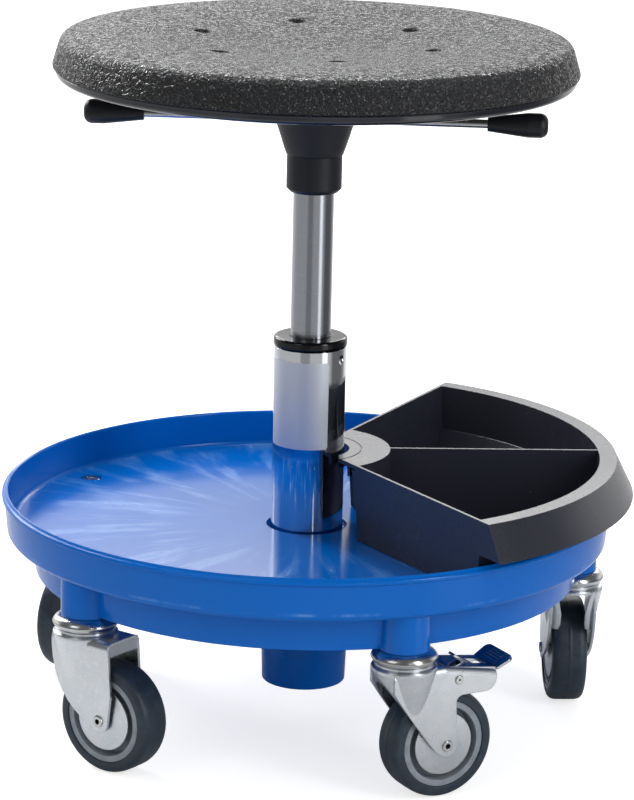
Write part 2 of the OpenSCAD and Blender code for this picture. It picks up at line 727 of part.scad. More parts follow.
// A rectangle with rounded corners round the origin, from its half width and half height
module rounded_plate(half_w, half_h, round) {
  square([2*(half_w - round), 2*half_h], center = true);
  square([2*half_w, 2*(half_h - round)], center = true);
  for (x = [-1, 1]) for (y = [-1, 1])
    translate([x*(half_w - round), y*(half_h - round)]) circle(r = round);
}
module label_field(side) {
  z_mid = bin_top_z - skirt_h/2;
  mid_r = shelf_r + skirt_out/2;
  half_w = mid_r*sin(panel_span/2);
  over_lean = skirt_out*over/skirt_h;
  rotate([0, 0, side*panel_turn]) intersection() {
    translate([0, 0, bin_top_z - skirt_h]) difference() {
      cylinder(r1 = shelf_r + skirt_out + over, r2 = shelf_r + over, h = skirt_h);
      translate([0, 0, -over])
        cylinder(r1 = shelf_r + skirt_out + over_lean - panel_depth,
                 r2 = shelf_r - over_lean - panel_depth, h = skirt_h + 2*over);
    }
    translate([mid_r - skirt_out, 0, z_mid]) rotate([90, 0, 90]) linear_extrude(2*skirt_out)
      rounded_plate(half_w, panel_h/2, panel_round);
  }
}
module bin_neck() {
  difference() {
    intersection() {
      bin_wedge(0);
      union() {
        translate([0, 0, bin_top_z - neck_t]) cylinder(r = neck_r + bin_wall/2, h = neck_t);
        translate([0, 0, bin_top_z - collar_h]) cylinder(r = collar_r + collar_w, h = collar_h);
      }
      translate([collar_open, -neck_r, bin_top_z - collar_h]) cube([2*neck_r, 2*neck_r, collar_h]);
    }
    translate([0, 0, bin_top_z - collar_h - over]) cylinder(r = collar_r, h = collar_h + 2*over);
    translate([0, 0, bin_top_z - groove_h])
      tube(stand_r + groove_in + groove_w, stand_r + groove_in, groove_h + over);
  }
}
module bin() {
  color("#23252a") difference() {
    union() {
      bin_tub();
      bin_skirt();
      bin_neck();
    }
    bin_pocket();
  }
}

// Castor heads
module castor_cap() {
  wide_z = castor_h - cap_fall;
  rotate_extrude() polygon(concat(
    [[cap_hole_r, castor_h - cap_t], [cap_hole_r, castor_h - seat_gap]],
    bend([cap_top_r, castor_h - seat_gap], [cap_r - cap_t/4, castor_h - cap_fall/3], [cap_r, wide_z]),
    [[cap_r - cap_foot_in, cap_z], [cap_r - cap_foot_in - cap_lip_t, cap_z],
     [cap_r - cap_t, wide_z], [cap_top_r - cap_t/3, castor_h - cap_t]]));
}
module castor_caps() {
  color("silver") at_each_castor() castor_cap();
}
module castor_kingpins() {
  flange_z = head_z - fork_t - seat_gap - kingpin_flange_t;
  color("dimgray") at_each_castor() rotate_extrude() polygon(
    [[kingpin_bore_r, flange_z], [kingpin_flange_r, flange_z],
     [kingpin_flange_r, flange_z + kingpin_flange_t],
     [kingpin_r, flange_z + kingpin_flange_t], [kingpin_r, castor_h - cap_t - seat_gap],
     [kingpin_bore_r, castor_h - cap_t - seat_gap]]);
}
module castor_balls() {
  color("silver") at_each_castor() for (i = [0:race_ball_count - 1]) rotate([0, 0, 360*i/race_ball_count])
    translate([race_ball_ring_r, 0, head_z + ball_gap + race_ball_r]) sphere(r = race_ball_r);
}
module castor_bolts() {
  seat_at = floor_z - bolt_seat_h + seat_gap;
  tail_z = head_z - fork_t - 2*seat_gap - kingpin_flange_t - nut_h - bolt_tail;
  color("silver") at_each_castor() difference() {
    rotate_extrude() polygon(
      [[0, tail_z], [bolt_r, tail_z], [bolt_r, seat_at], [bolt_head_r, seat_at],
       [bolt_head_r, seat_at + bolt_head_h - bolt_dome],
       [bolt_head_r - bolt_dome, seat_at + bolt_head_h - bolt_dome/3],
       [0, seat_at + bolt_head_h]]);
    for (a = [0, 90]) rotate([0, 0, a])
      translate([-cross_span/2, -cross_w/2, seat_at + bolt_head_h - cross_h])
        cube([cross_span, cross_w, cross_h + over]);
  }
}
module castor_nuts() {
  z0 = head_z - fork_t - 2*seat_gap - kingpin_flange_t - nut_h;
  color("silver") at_each_castor() translate([0, 0, z0]) difference() {
    cylinder(d = nut_af/cos(30), h = nut_h, $fn = 6);
    translate([0, 0, -over]) cylinder(r = bolt_r + fit, h = nut_h + 2*over);
  }
}

// Fork: the local X axis is the trail direction, from the swivel axis to the axle
function leg_outline() = concat(
  bend([-fork_lead, plate_z], [-fork_lead - belly_out, axle_z + belly_up],
       [axle_x - leg_end_r, axle_z - leg_end_r/2]),
  arc([axle_x, axle_z], leg_end_r, -140, -20),
  [[axle_x + fork_tail, axle_z + wheel_r/2], [axle_x + fork_tail - tail_in, plate_z]]);
function braked_leg_outline() = let (
    arm_z = plate_z - arm_h,
    end_x = axle_x + arm_reach) concat(
  bend([-head_flare_r - over, plate_z - fork_bend/2], [-nose_pull, axle_z + nose_up],
       [axle_x - leg_end_r, axle_z - leg_end_r/2]),
  arc([axle_x, axle_z], leg_end_r, -140, -5),
  arc([axle_x + leg_end_r - leg_lean + arm_round, arm_z - arm_round], arm_round, 180, 90),
  arc([end_x - arm_end_round, arm_z + arm_end_round], arm_end_round, -80, 0),
  [[end_x, plate_z + over], [-head_flare_r - over, plate_z + over]]);

// The cross-section of the bent sheet: a plate with a leg at each side
module fork_section() {
  w = fork_gap + fork_t;
  inner = fork_bend - fork_t;
  polygon(concat(
    [[-w, 0]],
    arc([-w + fork_bend, plate_z - fork_bend], fork_bend, 180, 90),
    arc([w - fork_bend, plate_z - fork_bend], fork_bend, 90, 0),
    [[w, 0], [fork_gap, 0]],
    arc([fork_gap - inner, plate_z - fork_bend], inner, 0, 90),
    arc([-fork_gap + inner, plate_z - fork_bend], inner, 90, 180),
    [[-fork_gap, 0]]));
}
module side_cut(outline) {
  rotate([90, 0, 0]) translate([0, 0, -2*head_flare_r]) linear_extrude(4*head_flare_r) polygon(outline);
}
// Drawn head: a flat race for the balls, a shoulder, and a cone that runs into the legs
module fork_head() {
  cone_z = plate_z - cone_fall;
  difference() {
    rotate_extrude() polygon(concat(
      [[0, cone_z], [fork_gap + fork_t, cone_z], [head_flare_r, plate_z - fork_bend/2]],
      arc([head_flare_r - head_round, plate_z - head_round/2], head_round, 0, 90),
      [[head_band_r, plate_z + head_round*3/4], [head_band_r, plate_z + head_round*3/4 + head_band_h],
       [head_r, plate_z + head_round*3/4 + head_band_h]],
      arc([head_r - head_round, head_z - head_round], head_round, 0, 90),
      [[0, head_z]]));
    rotate_extrude() polygon(
      [[0, cone_z - over], [fork_gap, cone_z - over], [fork_gap, cone_z],
       [head_flare_r - fork_t, plate_z - fork_bend/2],
       [head_r - fork_t, plate_z], [head_r - fork_t, head_z - fork_t], [0, head_z - fork_t]]);
    translate([0, -fork_gap, cone_z - over])
      cube([2*head_flare_r, 2*fork_gap, plate_z - fork_t - cone_z + over]);
  }
}
// A hole across the castor, through both legs
module cross_hole(x, z, r) {
  translate([x, fork_w, z]) rotate([90, 0, 0]) cylinder(r = r, h = 2*fork_w);
}
module fork(outline, tail) {
  color("silver") difference() {
    union() {
      intersection() {
        translate([-fork_lead, 0, 0]) rotate([90, 0, 90]) linear_extrude(fork_lead + tail) fork_section();
        side_cut(outline);
      }
      intersection() {
        fork_head();
        union() {
          side_cut(outline);
          translate([0, 0, plate_z - fork_t]) cylinder(r = 2*head_flare_r, h = 2*head_fall);
        }
      }
    }
    translate([0, 0, head_z - 2*fork_t]) cylinder(r = head_hole_r, h = 3*fork_t);
    translate([0, 0, plate_z - fork_t - over]) cylinder(r = head_r - fork_t, h = head_z - plate_z + over);
    cross_hole(axle_x, axle_z, axle_r + fit);
  }
}
module plain_fork() {
  tail_x = axle_x + fork_tail - tail_in;
  color("silver") union() {
    fork(leg_outline(), tail_x + fork_tail);
    translate([tail_x - fork_t, -fork_gap - fork_t/2, plate_z - bridge_h])
      cube([fork_t, 2*fork_gap + fork_t, bridge_h - fork_t/2]);
  }
}
module braked_fork() {
  arm_x = head_flare_r + over;
  slope = atan2(arm_fall, axle_x + arm_reach - arm_x);
  color("silver") difference() {
    union() {
      fork(braked_leg_outline(), arm_x);
      intersection() {
        side_cut(braked_leg_outline());
        translate([arm_x, 0, plate_z]) rotate([0, slope, 0]) translate([0, 0, -plate_z])
          rotate([90, 0, 90]) linear_extrude(2*arm_reach) fork_section();
      }
    }
    translate([arm_x, -fork_gap, plate_z - fork_bend - arm_fall])
      cube([2*arm_reach, 2*fork_gap, 2*fork_bend + arm_fall]);
    cross_hole(axle_x, axle_z, axle_r + fit);
    cross_hole(pivot_at_x, pivot_z, pivot_r + fit);
  }
}
module fork_of(k) {
  if (k == braked) braked_fork();
  else plain_fork();
}
// Hollow rivet that the wheel turns on, flared at both ends
module hollow_rivet(r, head_r, head_t, bore_r, len) {
  rotate([90, 0, 0]) translate([0, 0, -len/2]) rotate_extrude() polygon(
    [[bore_r, -head_t], [head_r - head_t/2, -head_t], [head_r, 0], [r, 0],
     [r, len], [head_r, len], [head_r - head_t/2, len + head_t], [bore_r, len + head_t]]);
}
module axle() {
  color("gray") translate([axle_x, 0, axle_z])
    hollow_rivet(axle_r, axle_head_r, axle_head_t, axle_bore_r, fork_w + 2*fit);
}

// Wheel, drawn round its axle and laid along Y
module on_axle() {
  translate([axle_x, 0, axle_z]) rotate([90, 0, 0]) children();
}
module tyre() {
  inner = core_r + fit;
  half = tyre_w/2;
  color("#3a3d42") on_axle() rotate_extrude() polygon(concat(
    [[inner, -half + tyre_lip], [inner + tyre_lip, -half]],
    bend([wheel_r - shoulder, -half], [wheel_r, -half], [wheel_r, -tread_w/2]),
    bend([wheel_r, tread_w/2], [wheel_r, half], [wheel_r - shoulder, half]),
    [[inner + tyre_lip, half], [inner, half - tyre_lip]]));
}
module wheel_core() {
  rim_in = core_r - core_rim_t;
  hub_half = core_hub_w/2;
  web = core_web_t/2;
  rim_half = core_rim_w/2;
  color("#8e949b") on_axle() rotate_extrude() polygon(
    [[axle_r + slide_fit, -hub_half], [core_hub_r, -hub_half], [core_hub_r, -web], [rim_in, -web],
     [rim_in + tyre_lip, -rim_half], [core_r, -rim_half], [core_r, rim_half],
     [rim_in + tyre_lip, rim_half], [rim_in, web], [core_hub_r, web],
     [core_hub_r, hub_half], [axle_r + slide_fit, hub_half]]);
}
module thread_guards() {
  z0 = core_hub_w/2 + seat_gap/2;
  color("silver") on_axle() for (m = [0, 1]) mirror([0, 0, m]) rotate_extrude() polygon(
    [[axle_r + 2*fit, z0], [guard_hub_r, z0], [guard_r, z0 - guard_dome],
     [guard_r, z0 - guard_dome + guard_t],
     [guard_hub_r, z0 + guard_t], [axle_r + 2*fit, z0 + guard_t]]);
}

// Brake
module at_pivot() {
  translate([pivot_at_x, 0, pivot_z]) children();
}
module brake_pedal() {
  half = fork_gap - pedal_play;
  top = pedal_rise;
  shoe_foot = -pivot_up - shoe_len;
  color("#b9bec4") at_castor(braked) at_pivot() difference() {
    union() {
      rotate([0, pedal_lean, 0]) {
        translate([-pedal_front, -half, top - pedal_t]) cube([pedal_front + pedal_reach, 2*half, pedal_t]);
        for (s = [-1, 1]) translate([0, s*(half - pedal_t/2) + pedal_t/2, 0]) rotate([90, 0, 0])
          linear_extrude(pedal_t)
            polygon([[-pedal_front, top], [-pedal_front/2, -pedal_front/2], [pedal_front/2, -pedal_front/2],
                     [pedal_reach/2, top - cheek_h/2], [pedal_reach, top - pedal_t], [pedal_reach, top]]);
        translate([pedal_reach - pedal_t/2, 0, top - pedal_t]) rotate([0, -pedal_lip_rise, 0])
          pedal_tread();
        translate([tab_x, -tab_w/2, top - pedal_t]) rotate([0, -tab_tilt, 0])
          cube([pedal_t, tab_w, tab_h + pedal_t]);
      }
      translate([shoe_x - shoe_len/2, -shoe_w/2, shoe_foot])
        cube([shoe_len, shoe_w, top - pedal_t/2 - shoe_x*tan(pedal_lean) - shoe_foot]);
    }
    cross_hole(0, 0, pivot_r + slide_fit);
    rotate([0, -brake_turn, 0]) cross_hole(-pivot_x, axle_z - pivot_z, wheel_r + shoe_rest);
    rotate([0, pedal_lean, 0]) translate([window_x, -window_w/2, top - 2*pedal_t])
      cube([window_len, window_w, 3*pedal_t]);
  }
}
module pedal_tread() {
  half = pedal_lip_w/2;
  linear_extrude(pedal_t) polygon(concat(
    [[0, -half + pedal_play]],
    arc([pedal_lip - pedal_lip_round, -half + pedal_lip_round], pedal_lip_round, -90, 0),
    arc([pedal_lip - pedal_lip_round, half - pedal_lip_round], pedal_lip_round, 0, 90),
    [[0, half - pedal_play]]));
  for (i = [1:grip_count]) translate([pedal_lip*i/(grip_count + 1) - grip_w/2, -half/2, pedal_t - grip_h/2])
    cube([grip_w, half, grip_h]);
}
module brake_rivet() {
  color("silver") at_castor(braked) at_pivot()
    hollow_rivet(pivot_r, pivot_head_r, pivot_head_t, pivot_r/3, fork_w + 2*fit);
}
// The assembly
tray();
stand_tube();
guide_bush();
bearing_lower_race();
bearing_balls();
castor_caps();
castor_kingpins();
castor_balls();
castor_bolts();
castor_nuts();
piston_rod();
piston();
rod_clip();
bearing_upper_race();
rubber_buffer();
gas_cylinder();
cylinder_guide();
valve_body();
hub_sleeve();
seat_hub();
hub_screws();
seat_board();
seat_pad();
release_pin();
release_rod();
knob_right();
knob_left();
bin();
brake_pedal();
brake_rivet();
for (k = [1:castor_count]) {
  at_castor(k) fork_of(k);
  at_castor(k) axle();
  at_castor(k) tyre();
  at_castor(k) wheel_core();
  at_castor(k) thread_guards();
}
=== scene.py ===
"""A rolling creeper seat: foam seat on a gas lift, round tool tray on five castors, and a parts
bin that swings round the column. Metres, +Z up, origin on the floor under the column, +X along
the bin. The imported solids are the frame; this script gives them their finishes, makes the soft
and fine pieces, and sets up the studio."""
import json
import math

import bmesh
import bpy
from mathutils import Matrix, Vector


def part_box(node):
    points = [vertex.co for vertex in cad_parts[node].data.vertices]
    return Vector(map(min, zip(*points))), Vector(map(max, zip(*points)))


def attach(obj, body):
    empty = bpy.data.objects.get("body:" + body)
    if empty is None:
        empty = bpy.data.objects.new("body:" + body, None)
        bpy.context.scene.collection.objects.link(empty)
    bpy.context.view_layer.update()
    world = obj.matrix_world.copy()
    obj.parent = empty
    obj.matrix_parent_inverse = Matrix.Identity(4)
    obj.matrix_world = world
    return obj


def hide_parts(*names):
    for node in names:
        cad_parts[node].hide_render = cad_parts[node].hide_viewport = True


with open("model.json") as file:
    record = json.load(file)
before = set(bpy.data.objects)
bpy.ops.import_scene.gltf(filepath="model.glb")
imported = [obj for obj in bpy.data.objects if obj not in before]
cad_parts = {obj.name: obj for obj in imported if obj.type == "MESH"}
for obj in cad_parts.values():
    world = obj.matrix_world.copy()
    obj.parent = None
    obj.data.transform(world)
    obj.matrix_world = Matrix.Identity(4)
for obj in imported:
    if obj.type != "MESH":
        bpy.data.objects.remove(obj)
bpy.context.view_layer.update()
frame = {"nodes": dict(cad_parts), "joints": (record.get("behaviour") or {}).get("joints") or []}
MM = 0.001


# Finishes
def linear(code):
    """An sRGB hex colour as the linear colour that a shader takes."""
    parts = [int(code[i:i + 2], 16) / 255 for i in (1, 3, 5)]
    return tuple(c / 12.92 if c <= 0.04045 else ((c + 0.055) / 1.055) ** 2.4 for c in parts) + (1.0,)


def put(tree, kind, inputs, out=0, **settings):
    """Adds one node with its settings and returns its output out. inputs holds plain values, or
    the outputs that feed the node; sockets go by their number or name."""
    node = tree.nodes.new("ShaderNode" + kind)
    for name, value in settings.items():
        setattr(node, name, value)
    for key, value in inputs.items():
        if isinstance(value, bpy.types.NodeSocket):
            tree.links.new(value, node.inputs[key])
        else:
            node.inputs[key].default_value = value
    return node.outputs[out] if node.outputs else None


def finish_of(name, base, **sockets):
    """A new material with its shader's plain values; returns material, tree, shader and place,
    the surface point in the part's own frame, in metres."""
    mat = bpy.data.materials.new(name)
    mat.use_nodes = True
    tree = mat.node_tree
    shader = tree.nodes["Principled BSDF"]
    shader.inputs["Base Color"].default_value = linear(base)
    for socket, value in sockets.items():
        shader.inputs[socket].default_value = value
    place = put(tree, "TexCoord", {}, "Object")
    return mat, tree, shader, place


def surface(tree, shader, height, depth, edge=0.0):
    """The lie of a surface: raised by height (0 to 1) times depth, its corners rounded by edge,
    both in metres."""
    raised = put(tree, "Bump", {"Strength": 1.0, "Distance": depth, "Height": height})
    if edge:
        rounded = put(tree, "Bevel", {"Radius": edge}, samples=6)
        tree.links.new(rounded, raised.node.inputs["Normal"])
    tree.links.new(raised, shader.inputs["Normal"])


def tray_polypropylene():
    """Polypropylene, injection moulded, satin. Melt ran out from the middle of the floor, which leaves faint
    rays there in relief and roughness; their paler colour is painted sheen. The hub below shows as a faint
    ring."""
    base, ray_sheen_tint = "#0062BE", "#6FA4DE"
    ray_width, ray_length = math.radians(6.74), 84 * MM
    floor_low, floor_high = 134.0 * MM, 136.6 * MM
    ray_start, ray_full = 50 * MM, 110 * MM
    hub_in, hub_out = 68.5 * MM, 69.5 * MM
    skin_grain = 1.1 * MM
    mat, tree, shader, place = finish_of("polypropylene_blue_moulded", base, Roughness=0.16, IOR=1.31)
    x, y, z = put(tree, "SeparateXYZ", {0: place}).node.outputs
    flat = put(tree, "CombineXYZ", {"X": x, "Y": y})
    reach = put(tree, "VectorMath", {0: flat}, "Value", operation="LENGTH")
    turn = put(tree, "Math", {0: y, 1: x}, operation="ARCTAN2")
    fan = put(tree, "CombineXYZ", {"X": turn, "Y": reach})
    fan = put(tree, "Mapping", {"Vector": fan, "Scale": (1 / ray_width, 1 / ray_length, 1)})
    rays = put(tree, "TexNoise", {"Vector": fan, "Scale": 1.0, "Detail": 4.0, "Roughness": 0.55})
    # The rays lie on the floor only, and run out of the ring over the hub's root
    under = put(tree, "MapRange", {0: z, 1: floor_high, 2: floor_high - 1.0 * MM})
    over = put(tree, "MapRange", {0: z, 1: floor_low, 2: floor_low + 0.6 * MM})
    on_floor = put(tree, "Math", {0: under, 1: over}, operation="MULTIPLY")
    past_hub = put(tree, "MapRange", {0: reach, 1: ray_start, 2: ray_full})
    shown = put(tree, "Math", {0: past_hub, 1: on_floor}, operation="MULTIPLY")
    strong = put(tree, "MapRange", {0: rays, 1: 0.5, 2: 0.74})
    pale = put(tree, "Math", {0: strong, 1: shown}, operation="MULTIPLY")
    # Painted sheen: the rays are coloured paler, as the glare they catch
    share = put(tree, "Math", {0: pale, 1: 0.5}, operation="MULTIPLY")
    tint = put(tree, "Mix", {0: share, 6: linear(base), 7: linear(ray_sheen_tint)}, 2, data_type="RGBA")
    tree.links.new(tint, shader.inputs["Base Color"])
    dullness = put(tree, "MapRange", {0: pale, 3: 0.15, 4: 0.35})
    tree.links.new(dullness, shader.inputs["Roughness"])
    # The mould's skin, the rays as low waves, and the ring over the hub's root
    skin = put(tree, "TexNoise", {"Vector": place, "Scale": 1 / skin_grain})
    ring = put(tree, "MapRange", {0: reach, 1: hub_in, 2: hub_out, 4: 0.6})
    waves = put(tree, "Math", {0: pale, 1: 0.5, 2: ring}, operation="MULTIPLY_ADD")
    height = put(tree, "Math", {0: skin, 1: 0.16, 2: waves}, operation="MULTIPLY_ADD")
    surface(tree, shader, height, 0.05 * MM, 0.7 * MM)
    return mat


def black_plastic(name, base, roughness, grain, depth, edge, ior=1.43):
    """Moulded plastic with an eroded tool grain; grain, depth and edge in metres. The real grain
    is some 0.1 mm, and is drawn coarser so that it shows. The faint change of sheen over some
    centimetres is how the tool's polish varies."""
    polish_patch = 35.7 * MM
    mat, tree, shader, place = finish_of(name, base, Roughness=roughness, IOR=ior)
    drift = put(tree, "TexNoise", {"Vector": place, "Scale": 1 / polish_patch})
    sheen = put(tree, "MapRange", {0: drift, 1: 0.3, 2: 0.7, 3: roughness - 0.03, 4: roughness + 0.04})
    tree.links.new(sheen, shader.inputs["Roughness"])
    height = put(tree, "TexNoise", {"Vector": place, "Scale": 1 / grain})
    surface(tree, shader, height, depth, edge)
    return mat


def seat_skin():
    """Polyurethane foam with its own moulded skin, leather grained: glossy rounded pebbles with creases
    between them, so that each pebble glints at its own angle. The hollows between the pebbles are coloured
    darker, as painted shade."""
    base, crown, hollow_shade = "#11141C", "#151821", "#07080C"
    pebble, crease_field, lump, pore = 1.6 * MM, 4.5 * MM, 2.3 * MM, 0.9 * MM
    sway, sway_patch = 1.6 * MM, 3.85 * MM
    smooth_below, grained_above = 454.2 * MM, 455.6 * MM
    mat, tree, shader, place = finish_of("polyurethane_skin_leather_grain", base, Roughness=0.2, IOR=1.6)
    # The pebbles' pattern sways, so that no two pebbles are alike
    drift = put(tree, "TexNoise", {"Vector": place, "Scale": 1 / sway_patch}, "Color")
    bent = put(tree, "VectorMath", {0: drift, 1: (sway,) * 3, 2: place}, operation="MULTIPLY_ADD")
    cells = {"Vector": bent, "Scale": 1 / pebble, "Smoothness": 0.4}
    hollows = put(tree, "TexVoronoi", cells, feature="SMOOTH_F1")
    cracks = put(tree, "TexVoronoi", {"Vector": bent, "Scale": 1 / crease_field}, feature="DISTANCE_TO_EDGE")
    # Pebbles, the creases between groups of them, lumps that tilt them, and the pores on top
    domes = put(tree, "Math", {0: 1.0, 1: hollows}, operation="SUBTRACT")
    banks = put(tree, "MapRange", {0: cracks, 1: 0.0, 2: 0.1})
    lumps = put(tree, "TexNoise", {"Vector": place, "Scale": 1 / lump, "Detail": 1.0})
    pores = put(tree, "TexNoise", {"Vector": place, "Scale": 1 / pore})
    height = 0.0
    for layer, share in ((domes, 0.6), (banks, 0.45), (lumps, 1.5), (pores, 0.4)):
        height = put(tree, "Math", {0: layer, 1: share, 2: height}, operation="MULTIPLY_ADD")
    # The band under the seam is left smooth by the mould
    level = put(tree, "SeparateXYZ", {0: place}, "Z")
    grained = put(tree, "MapRange", {0: level, 1: smooth_below, 2: grained_above})
    height = put(tree, "Math", {0: height, 1: grained}, operation="MULTIPLY")
    surface(tree, shader, height, 0.85 * MM)
    # Painted shade: the hollows between the pebbles are coloured darker
    dark = put(tree, "MapRange", {0: hollows, 1: 0.2, 2: 0.55})
    dark = put(tree, "Math", {0: dark, 1: grained}, operation="MULTIPLY")
    tint = put(tree, "Mix", {0: dark, 6: linear(crown), 7: linear(hollow_shade)}, 2, data_type="RGBA")
    tree.links.new(tint, shader.inputs["Base Color"])
    # Each pebble has its own polish, so that some glint and their neighbours stay dull
    own = put(tree, "TexVoronoi", {"Vector": bent, "Scale": 1 / pebble}, "Color")
    own = put(tree, "SeparateXYZ", {0: own}, "X")
    dirt = put(tree, "Math", {0: hollows, 1: 0.4}, operation="MULTIPLY")
    dull = put(tree, "Math", {0: own, 1: 0.65, 2: dirt}, operation="MULTIPLY_ADD")
    dull = put(tree, "Math", {0: dull, 1: grained}, operation="MULTIPLY")
    dullness = put(tree, "MapRange", {0: dull, 1: 0.24, 2: 0.66, 3: 0.07, 4: 0.72})
    tree.links.new(dullness, shader.inputs["Roughness"])
    return mat


def zinc_plate(name, tint_a, tint_b, roughness):
    """Pressed steel, bright zinc plated and passivated: pale metal with a soft bluish and straw
    drift over the surface, fine pits and drawing marks."""
    stain, pit = 22.2 * MM, 3.85 * MM
    mat, tree, shader, place = finish_of(name, tint_a, Metallic=1.0, Roughness=roughness)
    drift = put(tree, "TexNoise", {"Vector": place, "Scale": 1 / stain, "Detail": 3.0, "Roughness": 0.6})
    share = put(tree, "MapRange", {0: drift, 1: 0.35, 2: 0.68})
    tint = put(tree, "Mix", {0: share, 6: linear(tint_a), 7: linear(tint_b)}, 2, data_type="RGBA")
    tree.links.new(tint, shader.inputs["Base Color"])
    pits = put(tree, "TexNoise", {"Vector": place, "Scale": 1 / pit, "Detail": 4.0, "Roughness": 0.65})
    dullness = put(tree, "MapRange", {0: pits, 1: 0.3, 2: 0.75, 3: roughness - 0.05, 4: roughness + 0.08})
    tree.links.new(dullness, shader.inputs["Roughness"])
    surface(tree, shader, pits, 0.006 * MM, 0.9 * MM)
    return mat


def turned_metal(name, base, roughness, line, depth, stretch=0.0):
    """Metal ground or turned about the column: fine lines round it, line metres apart, which
    smear a highlight up and down; stretch is how strongly. Real lines are some hundredths of a
    millimetre apart, and are drawn coarser so that they show."""
    line_run = 71.4 * MM
    mat, tree, shader, place = finish_of(name, base, Metallic=1.0, Roughness=roughness)
    drawn = put(tree, "Mapping", {"Vector": place, "Scale": (1 / line_run, 1 / line_run, 1 / line)})
    lines = put(tree, "TexNoise", {"Vector": drawn, "Scale": 1.0})
    dullness = put(tree, "MapRange", {0: lines, 1: 0.25, 2: 0.75, 3: roughness - 0.05, 4: roughness + 0.08})
    tree.links.new(dullness, shader.inputs["Roughness"])
    if stretch:
        quarter_turn = 0.25
        shader.inputs["Anisotropic"].default_value = stretch
        shader.inputs["Anisotropic Rotation"].default_value = quarter_turn
        around = put(tree, "Tangent", {}, direction_type="RADIAL", axis="Z")
        tree.links.new(around, shader.inputs["Tangent"])
    surface(tree, shader, lines, depth, 0.3 * MM)
    return mat


def chrome_plate():
    """Steel tube, polished and chromium plated: a clean mirror with the faintest long waves."""
    wave, smear = 26.3 * MM, 6.67 * MM
    mat, tree, shader, place = finish_of("steel_tube_chromed", "#E2E5EA", Metallic=1.0, Roughness=0.035)
    waves = put(tree, "TexNoise", {"Vector": place, "Scale": 1 / wave, "Detail": 1.0})
    smears = put(tree, "TexNoise", {"Vector": place, "Scale": 1 / smear, "Detail": 4.0})
    dullness = put(tree, "MapRange", {0: smears, 1: 0.45, 2: 0.8, 3: 0.03, 4: 0.12})
    tree.links.new(dullness, shader.inputs["Roughness"])
    surface(tree, shader, waves, 0.02 * MM, 0.4 * MM)
    return mat


def satin_foil():
    """Aluminium foil, satin, on an adhesive back: broad soft reflections, a touch blue. Its rolled
    grain is really under 0.1 mm, and is drawn coarser so that it shows."""
    rolled_grain = 1.43 * MM
    mat, tree, shader, place = finish_of("aluminium_foil_satin", "#DFE3EC", Metallic=0.8, Roughness=0.4)
    grain = put(tree, "TexNoise", {"Vector": place, "Scale": 1 / rolled_grain, "Detail": 3.0})
    dullness = put(tree, "MapRange", {0: grain, 1: 0.3, 2: 0.7, 3: 0.38, 4: 0.48})
    tree.links.new(dullness, shader.inputs["Roughness"])
    surface(tree, shader, grain, 0.01 * MM)
    return mat


def tyre_rubber():
    """Thermoplastic rubber, moulded: dull slate grey, with faint scuffs on the tread."""
    base, scuffed, clean = "#2B3641", "#26313D", "#35414D"
    scuff, mould_grain = 8.33 * MM, 0.8 * MM
    mat, tree, shader, place = finish_of("thermoplastic_rubber_grey", base, Roughness=0.36, IOR=1.45)
    scuffs = put(tree, "TexNoise", {"Vector": place, "Scale": 1 / scuff, "Detail": 5.0, "Roughness": 0.7})
    share = put(tree, "MapRange", {0: scuffs, 1: 0.45, 2: 0.75})
    tint = put(tree, "Mix", {0: share, 6: linear(scuffed), 7: linear(clean)}, 2, data_type="RGBA")
    tree.links.new(tint, shader.inputs["Base Color"])
    dullness = put(tree, "MapRange", {0: scuffs, 1: 0.35, 2: 0.7, 3: 0.36, 4: 0.52})
    tree.links.new(dullness, shader.inputs["Roughness"])
    height = put(tree, "TexNoise", {"Vector": place, "Scale": 1 / mould_grain})
    surface(tree, shader, height, 0.03 * MM)
    return mat


def core_nylon():
    """Nylon, moulded, mid grey and slightly glossy, with a faint mottle of its pigment."""
    base, dark, pale = "#878F99", "#7E8690", "#8F97A1"
    mottle, mould_grain = 6.25 * MM, 0.7 * MM
    mat, tree, shader, place = finish_of("nylon_grey_moulded", base, Roughness=0.4, IOR=1.53)
    pigment = put(tree, "TexNoise", {"Vector": place, "Scale": 1 / mottle, "Detail": 3.0})
    share = put(tree, "MapRange", {0: pigment, 1: 0.3, 2: 0.7})
    tint = put(tree, "Mix", {0: share, 6: linear(dark), 7: linear(pale)}, 2, data_type="RGBA")
    tree.links.new(tint, shader.inputs["Base Color"])
    height = put(tree, "TexNoise", {"Vector": place, "Scale": 1 / mould_grain})
    surface(tree, shader, height, 0.03 * MM, 0.4 * MM)
    return mat


def birch_plywood():
    """Birch plywood, sawn and stained black: darker and paler plies at its edge, and fibres that
    run along the board."""
    base, dark, pale = "#26241F", "#1A1917", "#3A362F"
    ply, fibre_length, fibre_width = 1.5 * MM, 33.3 * MM, 2.38 * MM
    mat, tree, shader, place = finish_of("birch_plywood_stained_black", base, Roughness=0.65, IOR=1.45)
    level = put(tree, "SeparateXYZ", {0: place}, "Z")
    plies = put(tree, "Math", {0: level, 1: 1 / ply}, operation="MULTIPLY")
    plies = put(tree, "Math", {0: plies, 1: 1.0}, operation="PINGPONG")
    along = (1 / fibre_length, 1 / fibre_width, 1 / fibre_width)
    drawn = put(tree, "Mapping", {"Vector": place, "Scale": along})
    fibres = put(tree, "TexNoise", {"Vector": drawn, "Scale": 1.0, "Detail": 4.0})
    half = put(tree, "Math", {0: plies, 1: 0.5}, operation="MULTIPLY")
    both = put(tree, "Math", {0: fibres, 1: 0.5, 2: half}, operation="MULTIPLY_ADD")
    share = put(tree, "MapRange", {0: both, 1: 0.25, 2: 0.75})
    tint = put(tree, "Mix", {0: share, 6: linear(dark), 7: linear(pale)}, 2, data_type="RGBA")
    tree.links.new(tint, shader.inputs["Base Color"])
    surface(tree, shader, fibres, 0.08 * MM)
    return mat


TRAY = tray_polypropylene()
